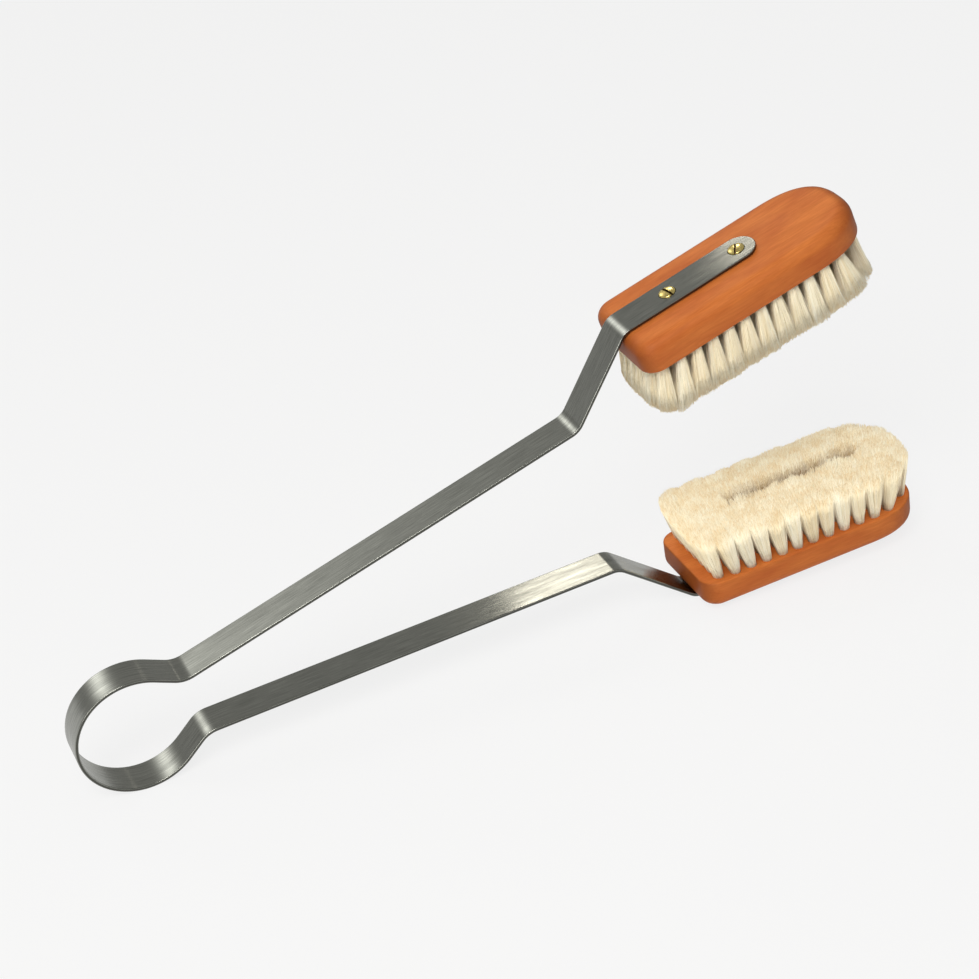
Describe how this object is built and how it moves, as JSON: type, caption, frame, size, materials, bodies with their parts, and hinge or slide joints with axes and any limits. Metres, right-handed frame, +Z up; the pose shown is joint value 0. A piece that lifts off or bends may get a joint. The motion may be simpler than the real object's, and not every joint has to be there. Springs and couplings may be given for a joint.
{
  "type": "plant dusting brush",
  "caption": "Spring tongs of bent steel strip with a round rear loop, carrying facing wooden brushes of soft hair that wipe both sides of a plant leaf.",
  "frame": {"origin": "middle of the footprint at the level it stands on: the loop and the bend of the lower tab touch z = 0", "axes": "+X from the rear loop towards the brushes, +Y across the strip, +Z up, the way the upper brush opens"},
  "size_m": [0.391, 0.0558, 0.1729],
  "materials": {
    "strip_steel": "stainless strip, lengthwise brushed, lightly eased edges",
    "pearwood": "oiled pearwood, fine straight grain, satin",
    "screw_brass": "bright turned brass, slotted",
    "goat_hair": "undyed cream goat hair, cut flat"
  },
  "bodies": {
    "lower_half": {"lower_spring_arm": "strip_steel", "lower_block": "pearwood", "lower_rear_screw": "screw_brass", "lower_front_screw": "screw_brass", "lower_tuft_row_1": "goat_hair", "lower_tuft_row_2": "goat_hair", "lower_tuft_row_3": "goat_hair", "lower_tuft_row_4": "goat_hair", "lower_tuft_row_5": "goat_hair", "lower_tuft_row_6": "goat_hair", "lower_tuft_row_7": "goat_hair"},
    "upper_half": {"upper_spring_arm": "strip_steel", "upper_block": "pearwood", "upper_rear_screw": "screw_brass", "upper_front_screw": "screw_brass", "upper_tuft_row_1": "goat_hair", "upper_tuft_row_2": "goat_hair", "upper_tuft_row_3": "goat_hair", "upper_tuft_row_4": "goat_hair", "upper_tuft_row_5": "goat_hair", "upper_tuft_row_6": "goat_hair", "upper_tuft_row_7": "goat_hair"}
  },
  "joints": [
    {"name": "squeeze", "type": "hinge", "parent": "lower_half", "child": "upper_half", "pos_m": [-0.19436, 0, 0.02222], "axis": [0, 1, 0], "range_deg": [0, 15], "stiffness_Nm_per_rad": 8, "springref_deg": -3.44}
  ]
}
